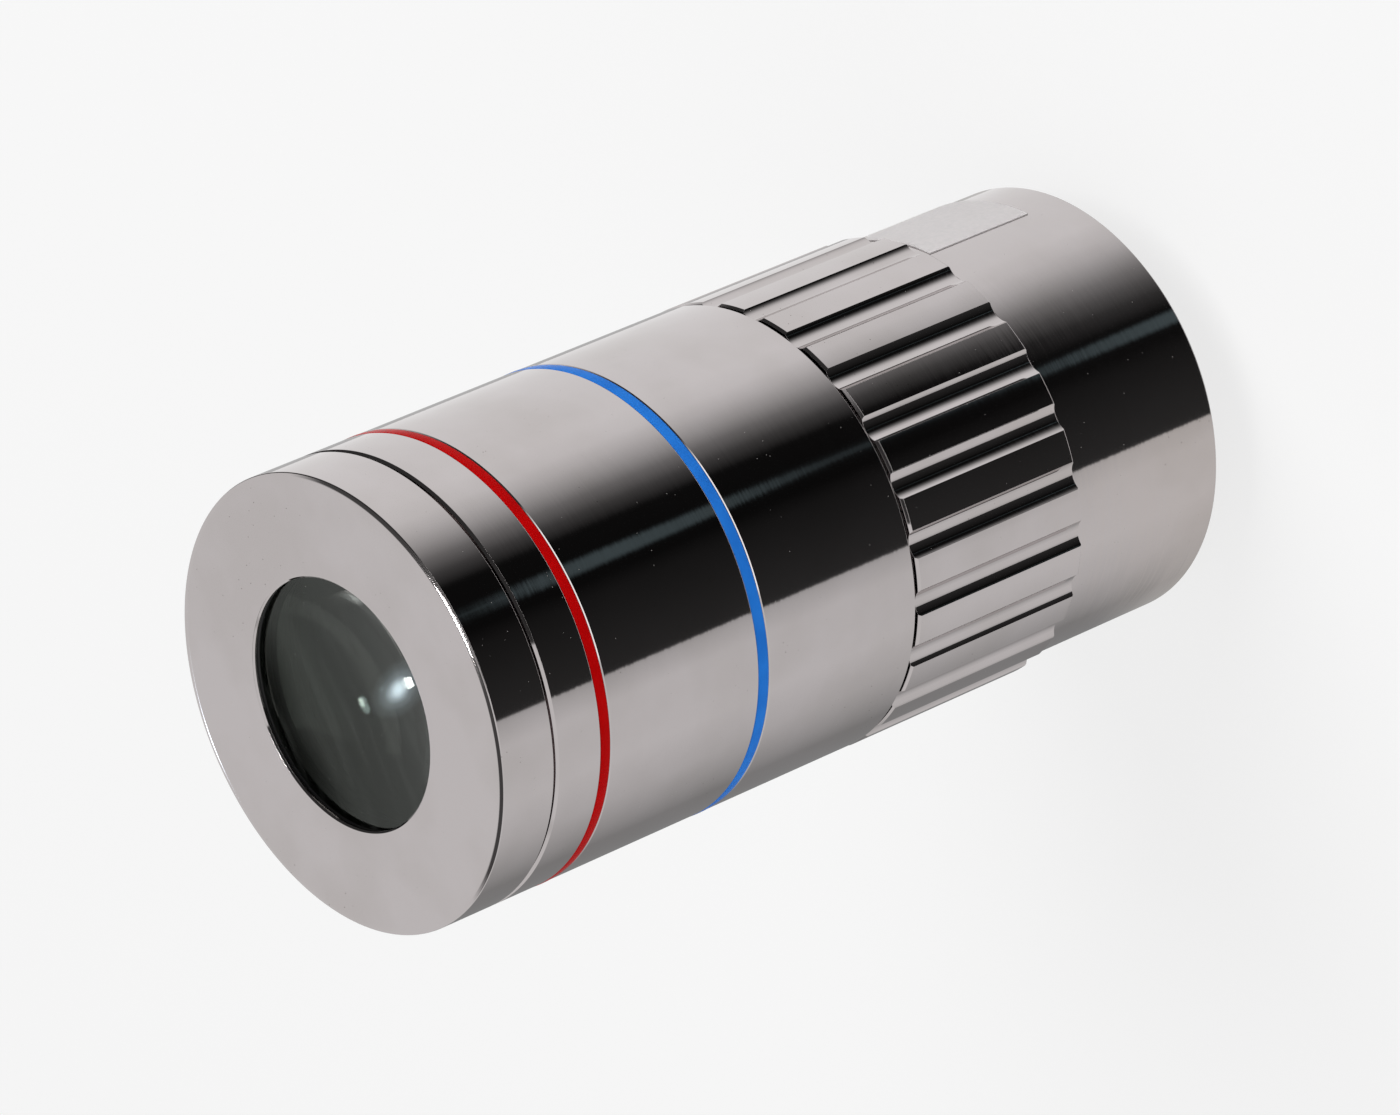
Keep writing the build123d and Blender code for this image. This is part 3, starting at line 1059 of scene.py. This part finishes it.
@dataclass
class LensStack:
    """Lenses, cells, rings and tubes inside, which keep their CAD shapes."""

    black_brass: tuple[str, ...] = (
        "lens_tube", "front_retaining_ring", "meniscus_cell", "first_doublet_cell", "triplet_cell",
        "second_doublet_cell")
    black_aluminium: tuple[str, ...] = (
        "parfocal_ring", "spacer_tube", "rear_cell", "aperture_stop", "rear_retaining_ring")
    crown_glass: tuple[str, ...] = (
        "front_lens", "meniscus_lens", "first_doublet_crown", "triplet_front_crown",
        "triplet_rear_crown", "second_doublet_crown", "rear_doublet_crown", "rear_meniscus")
    flint_glass: tuple[str, ...] = (
        "first_doublet_flint", "triplet_flint", "second_doublet_flint", "rear_doublet_flint")

    def dress(self, finishes: Finishes) -> None:
        """Gives each piece of the stack its finish.

        Args:
            finishes: The objective's finishes.
        """
        for slot, names in ((Slot.BRASS, self.black_brass), (Slot.ALUMINIUM, self.black_aluminium),
                            (Slot.CROWN, self.crown_glass), (Slot.FLINT, self.flint_glass)):
            for name in names:
                finishes.dress(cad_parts[name], slot)
                log.info("%s keeps its CAD shape", name)
        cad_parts["front_lens"].data.materials[0] = finishes.front_glass
        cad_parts["meniscus_lens"].data.materials[0] = finishes.hazy_glass


@dataclass
class Studio:
    """White table in a dim room, seen as a light tent that changes with the direction.

    Directions are counted about the optical axis from the camera's side. The table fills all that lies
    below its horizon. Above it the room is dark on the camera's side and grows pale round to the back.
    The floor is clear to the metal's reflections, so the barrel mirrors the tent under it.
    """

    floor_width: float = 6000.0
    floor_whiteness: float = 0.75
    horizon_up: tuple[float, float, float] = (0.868, -0.453, -0.205)
    horizon_blur: float = 0.006
    table: Stops = (
        (-180, 0.22), (-138, 0.28), (-104, 0.63), (-80, 0.77), (-50, 0.76), (-40, 0.62), (-34, 0.5),
        (0, 0.5))
    rear_table: Colour = (0.78, 0.75, 0.71, 1.0)
    rear_table_share: float = 0.55      # the table lies nearer below the rear end and evens out there
    rear_from: Span = (-0.632, -0.642)  # heights of direction between which the rear end's light sets in
    room: Stops = (
        (-38, 0.033), (-10, 0.018), (0, 0.013), (8, 0.005), (32, 0.006), (40, 0.072), (48, 0.22),
        (56, 0.48), (64, 0.71), (72, 0.87), (84, 0.94), (180, 0.95))
    rear_room: Stops = (                # the glow reaches further round at the rear end
        (-38, 0.036), (-10, 0.02), (0, 0.014), (8, 0.007), (22, 0.007), (32, 0.05), (40, 0.13), (48, 0.26),
        (56, 0.45), (64, 0.66), (72, 0.8), (84, 0.92), (180, 0.95))
    front_table: float = 0.82
    front_room: float = 0.04
    front_top: Span = (0.7, 0.76)       # between these heights the pale side ends
    front_fall: float = 0.3             # its top edge falls off this steeply to both sides
    front_ceiling: float = 0.08
    window_light: float = 1.6           # a low window behind the camera
    window_turn: Stops = ((-30, 0.0), (-24, 1.0), (34, 1.0), (50, 0.0))
    window_height: Stops = ((0.0, 0.0), (0.04, 1.0), (0.18, 1.0), (0.22, 0.0))
    slit: float = 16.4                  # a slit lets a streak of light into the dark part
    slit_light: Colour = (0.072, 0.1, 0.108, 1.0)
    slit_edge: Span = (1.4, 0.5)        # its light rises between these shares of its half-width
    slit_shape: tuple[tuple[float, float, float], ...] = (      # height, half-width and strength
        (-0.650, 3.6, 1.0), (-0.643, 3.2, 0.9), (-0.636, 2.0, 0.35), (-0.621, 1.2, 0.2),
        (-0.6136, 1.4, 0.3), (-0.606, 2.8, 0.85), (-0.589, 3.7, 1.0), (-0.5865, 2.6, 1.0),
        (-0.5855, 0.8, 0.3), (-0.578, 0.6, 0.15))
    strip_turn: float = 179.5           # a tall strip lamp, drawn round by the slanted front lens
    strip_height: float = 25.4
    strip_size: Span = (0.5, 2.3)
    strip_lean: float = 1.8
    strip_light: Colour = (8.6, 10.0, 11.4, 1.0)
    strip_reach: float = 3.0            # the light fades out at this many half-sizes from the middle
    strip_fade: Stops = (
        (0.0, 1.0), (0.15, 0.85), (0.3, 0.42), (0.45, 0.16), (0.7, 0.05), (1.0, 0.0))
    nadir_light: float = 0.95
    nadir_from: Span = (-0.68, -0.76)
    back_light: float = 0.08
    back_edge: Span = (0.35, 0.1)       # between these the back goes over into the camera's side
    front_from: Span = (-0.34, -0.1)    # between these heights the front end's light sets in
    overhead_width: float = 600.0
    overhead_place: tuple[float, float, float] = (450.0, -150.0, 700.0)
    overhead_watts: float = 4.0
    spot_width: float = 85.0
    spot_turn: float = 175.5            # direction and height of the small lamp that glints in the lenses
    spot_height: float = 59.5
    spot_distance: float = 1000.0
    spot_watts: float = 1.2

    def build_floor(self) -> None:
        """Lays the floor, which is almost white to the camera and through glass."""
        half = self.floor_width / 2 * MM
        low = cad_box[0][2]
        mesh = bpy.data.meshes.new("studio_floor")
        mesh.from_pydata([(-half, -half, low), (half, -half, low), (half, half, low),
                          (-half, half, low)], [], [(0, 1, 2, 3)])
        floor = bpy.data.objects.new("studio_floor", mesh)
        bpy.context.scene.collection.objects.link(floor)
        floor.visible_glossy = False
        material, tree = new_material("floor_paper_white")
        paper = add_node(tree, "BsdfDiffuse", {"Color": linear("#F4F4F4")})
        white = add_node(tree, "Emission", {"Color": linear("#FFFFFF"), "Strength": 1.0})
        path = add_node(tree, "LightPath")
        seen = path.outputs["Is Camera Ray"]
        for ray in ("Is Glossy Ray", "Is Transmission Ray"):
            seen = add_node(tree, "Math", {0: seen, 1: path.outputs[ray]}, operation="MAXIMUM")
        share = add_node(tree, "Math", {0: seen, 1: self.floor_whiteness}, operation="MULTIPLY")
        shader = add_node(tree, "MixShader", {0: share, 1: paper, 2: white})
        add_node(tree, "OutputMaterial", {"Surface": shader})
        mesh.materials.append(material)

    @staticmethod
    def by_turn(stops: Sequence[tuple[float, Any]]) -> list[tuple[float, Any]]:
        """Turns stops by direction, in degrees, into ramp positions."""
        return [((turn + 180) / 360, light) for turn, light in stops]

    def streak(self, tree: Tree, turn: Link, z: Link) -> Node:
        """Draws the slit's streak of light, whose width and strength change with its height.

        Args:
            tree: The world's node tree.
            turn: Direction about the axis, 0 to 1 for a whole turn.
            z: Height of the direction.
        Returns:
            Node with the streak on black.
        """
        low, high = self.slit_shape[0][0], self.slit_shape[-1][0]
        stops = [((height - low) / (high - low), (half / 360, strength, 0.0, 1.0))
                 for height, half, strength in self.slit_shape]
        level = add_node(tree, "MapRange", {0: z, 1: low, 2: high})
        shape = add_node(tree, "ValToRGB", {0: level}, stops=stops)
        half, strength = add_node(tree, "SeparateColor", {0: shape}).outputs[:2]
        off = add_node(tree, "Math", {0: turn, 1: (self.slit + 180) / 360}, operation="SUBTRACT")
        size = add_node(tree, "Math", {0: off}, operation="ABSOLUTE")
        share = add_node(tree, "Math", {0: size, 1: half}, operation="DIVIDE")
        inside = add_node(tree, "MapRange", {0: share, 1: self.slit_edge[0], 2: self.slit_edge[1]},
                          interpolation_type="SMOOTHSTEP")
        glow = add_node(tree, "Math", {0: inside, 1: strength}, operation="MULTIPLY")
        return add_node(tree, "Mix", {0: glow, 6: 0.0, 7: self.slit_light}, data_type="RGBA")

    def strip(self, tree: Tree, where: Link) -> Node:
        """Draws the strip lamp's soft light.

        Args:
            tree: The world's node tree.
            where: Direction in space.
        Returns:
            Node with the strip on black.
        """
        turn, height = math.radians(self.strip_turn), math.radians(self.strip_height)
        side = Vector((math.cos(turn), math.sin(turn), 0.0))
        level = Vector((-math.sin(turn), math.cos(turn), 0.0))
        up = level * math.sin(height) + Vector((0.0, 0.0, math.cos(height)))
        half_width, half_height = (math.radians(size) for size in self.strip_size)
        slant = (up + self.strip_lean * side) / half_height
        across = add_node(tree, "VectorMath", {0: where, 1: side / half_width}, operation="DOT_PRODUCT")
        along = add_node(tree, "VectorMath", {0: where, 1: slant}, operation="DOT_PRODUCT")
        off = add_node(tree, "CombineXYZ", {0: across, 1: along})
        away = add_node(tree, "VectorMath", {0: off}, operation="LENGTH")
        share = add_node(tree, "MapRange", {0: away, 1: 0.0, 2: self.strip_reach})
        fade = add_node(tree, "ValToRGB", {0: share}, stops=self.strip_fade)
        return add_node(tree, "Mix", {0: fade, 6: 0.0, 7: self.strip_light}, data_type="RGBA")

    def side_light(self, tree: Tree, turn: Link, z: Link, in_room: Link) -> Node:
        """Draws the table and the room as the barrel's wall mirrors them.

        Args:
            tree: The world's node tree.
            turn: Direction about the axis, 0 to 1 for a whole turn.
            z: Height of the direction.
            in_room: 1 above the table's horizon and 0 below it.
        Returns:
            Node with the light's colour.
        """
        rear = add_node(tree, "MapRange", {0: z, 1: self.rear_from[0], 2: self.rear_from[1]})
        table, front_glow, rear_glow = (
            add_node(tree, "ValToRGB", {0: turn}, stops=self.by_turn(stops))
            for stops in (self.table, self.room, self.rear_room))
        nearer = add_node(tree, "Math", {0: rear, 1: self.rear_table_share}, operation="MULTIPLY")
        table_lit = add_node(tree, "Mix", {0: nearer, 6: table, 7: self.rear_table}, data_type="RGBA")
        room = add_node(tree, "Mix", {0: rear, 6: front_glow, 7: rear_glow}, data_type="RGBA")
        room_lit = add_node(tree, "Mix", {0: 1.0, 6: room, 7: self.streak(tree, turn, z)},
                            data_type="RGBA", blend_type="ADD")
        return add_node(tree, "Mix", {0: in_room, 6: table_lit, 7: room_lit}, data_type="RGBA")

    def front_light(self, tree: Tree, where: Link, turn: Link, in_room: Link, ahead: Link) -> Node:
        """Draws what the front face, the front lens and the edges beside them mirror.

        Args:
            tree: The world's node tree.
            where: Direction in space.
            turn: Direction about the axis, 0 to 1 for a whole turn.
            in_room: 1 above the table's horizon and 0 below it.
            ahead: 1 on the camera's side and 0 at the back.
        Returns:
            Node with the light's colour.
        """
        x, _, z = add_node(tree, "SeparateXYZ", {0: where}).outputs
        across = add_node(tree, "ValToRGB", {0: turn}, stops=self.by_turn(self.window_turn))
        upright = add_node(tree, "ValToRGB", {0: z}, stops=self.window_height)
        pane = add_node(tree, "Math", {0: across, 1: upright}, operation="MULTIPLY")
        room = add_node(tree, "Mix", {0: pane, 6: self.front_room, 7: self.window_light}, data_type="RGBA")
        aside = add_node(tree, "Math", {0: x}, operation="ABSOLUTE")
        level = add_node(tree, "Math", {0: aside, 1: self.front_fall, 2: z}, operation="MULTIPLY_ADD")
        high = add_node(tree, "MapRange", {0: level, 1: self.front_top[0], 2: self.front_top[1]})
        top = add_node(tree, "Mix", {0: ahead, 6: self.front_ceiling, 7: self.front_table},
                       data_type="RGBA")
        pale_side = add_node(tree, "Mix", {0: high, 6: self.front_table, 7: top}, data_type="RGBA")
        plain = add_node(tree, "Mix", {0: in_room, 6: pale_side, 7: room}, data_type="RGBA")
        return add_node(tree, "Mix", {0: 1.0, 6: plain, 7: self.strip(tree, where)},
                        data_type="RGBA", blend_type="ADD")

    def build_tent(self) -> None:
        """Makes the world that stands for table and room."""
        world = bpy.data.worlds.new("light_tent")
        bpy.context.scene.world = world
        world.use_nodes = True
        tree = world.node_tree
        tree.nodes.clear()
        where = add_node(tree, "TexCoord").outputs["Generated"]
        x, y, z = add_node(tree, "SeparateXYZ", {0: where}).outputs
        near = add_node(tree, "Math", {0: y, 1: -1.0}, operation="MULTIPLY")
        about = add_node(tree, "Math", {0: x, 1: near}, operation="ARCTAN2")
        turn = add_node(tree, "MapRange", {0: about, 1: -math.pi, 2: math.pi})
        height = add_node(tree, "VectorMath", {0: where, 1: self.horizon_up}, operation="DOT_PRODUCT")
        in_room = add_node(tree, "MapRange", {0: height, 1: -self.horizon_blur, 2: self.horizon_blur})
        ahead = add_node(tree, "MapRange", {0: y, 1: self.back_edge[0], 2: self.back_edge[1]})
        nadir = add_node(tree, "Mix", {0: ahead, 6: self.back_light, 7: self.nadir_light},
                         data_type="RGBA")
        under, above = (
            add_node(tree, "MapRange", {0: z, 1: span[0], 2: span[1]}, interpolation_type="SMOOTHSTEP")
            for span in (self.nadir_from, self.front_from))
        sides = self.side_light(tree, turn, z, in_room)
        bottom = add_node(tree, "Mix", {0: under, 6: sides, 7: nadir}, data_type="RGBA")
        front = self.front_light(tree, where, turn, in_room, ahead)
        whole = add_node(tree, "Mix", {0: above, 6: bottom, 7: front}, data_type="RGBA")
        light = add_node(tree, "Background", {"Color": whole, "Strength": 1.0})
        add_node(tree, "OutputWorld", {"Surface": light})

    @staticmethod
    def hang_lamp(name: str, place: Vector, width: float, watts: float) -> Piece:
        """Hangs a round lamp that points at the object.

        Args:
            name: The lamp's name.
            place: Its place, in millimetres.
            width: Its diameter, in millimetres.
            watts: Its power.
        Returns:
            The lamp's object.
        """
        data = bpy.data.lights.new(name, "AREA")
        data.shape = "DISK"
        data.size = width * MM
        data.energy = watts
        lamp = bpy.data.objects.new(name, data)
        bpy.context.scene.collection.objects.link(lamp)
        lamp.location = place * MM
        lamp.rotation_euler = place.to_track_quat("Z", "Y").to_euler()
        return lamp

    def build_lamps(self) -> None:
        """Hangs the soft overhead lamp and the small one that glints in the lenses."""
        overhead = self.hang_lamp("overhead_lamp", Vector(self.overhead_place), self.overhead_width,
                                  self.overhead_watts)
        overhead.visible_glossy = False
        overhead.visible_transmission = False
        turn, height = math.radians(self.spot_turn), math.radians(self.spot_height)
        way = Vector((math.sin(turn) * math.cos(height), -math.cos(turn) * math.cos(height),
                      math.sin(height)))
        spot = self.hang_lamp("spot_lamp", way * self.spot_distance, self.spot_width, self.spot_watts)
        spot.visible_diffuse = False

    def build(self) -> None:
        """Sets up floor, tent and lamps."""
        self.build_floor()
        self.build_tent()
        self.build_lamps()


@dataclass
class PhotoCamera:
    """Camera at the photograph's viewing angle, rolled so that the upright objective lies slanted."""

    place: tuple[float, float, float] = (0.0, -615.0, 508.32)
    aim: tuple[float, float, float] = (-0.412, 0.0, 44.009)
    roll: float = 113.07
    focal_length: float = 229.06
    sensor_width: float = 36.0

    def build(self) -> None:
        """Places the camera and makes it the scene's own."""
        data = bpy.data.cameras.new("photo_camera")
        data.lens = self.focal_length
        data.sensor_width = self.sensor_width
        camera = bpy.data.objects.new("photo_camera", data)
        bpy.context.scene.collection.objects.link(camera)
        place, aim = Vector(self.place) * MM, Vector(self.aim) * MM
        level = (aim - place).to_track_quat("-Z", "Y").to_matrix().to_4x4()
        roll = Matrix.Rotation(-math.radians(self.roll), 4, "Z")
        camera.matrix_world = Matrix.Translation(place) @ level @ roll
        bpy.context.scene.camera = camera


def main() -> None:
    """Builds the objective's pieces, the studio and the camera."""
    logging.basicConfig(level=logging.INFO, format="%(name)s: %(message)s")
    bpy.context.scene.view_settings.view_transform = "Standard"
    finishes = Finishes()
    for part in (FrontCap(), FrontCell(), FrontBarrel(), FlutedGrip(), RearSleeve(), MountBody(),
                 LensStack()):
        part.dress(finishes)
    Studio().build()
    PhotoCamera().build()
    bpy.context.view_layer.update()


if __name__ == "__main__":
    main()
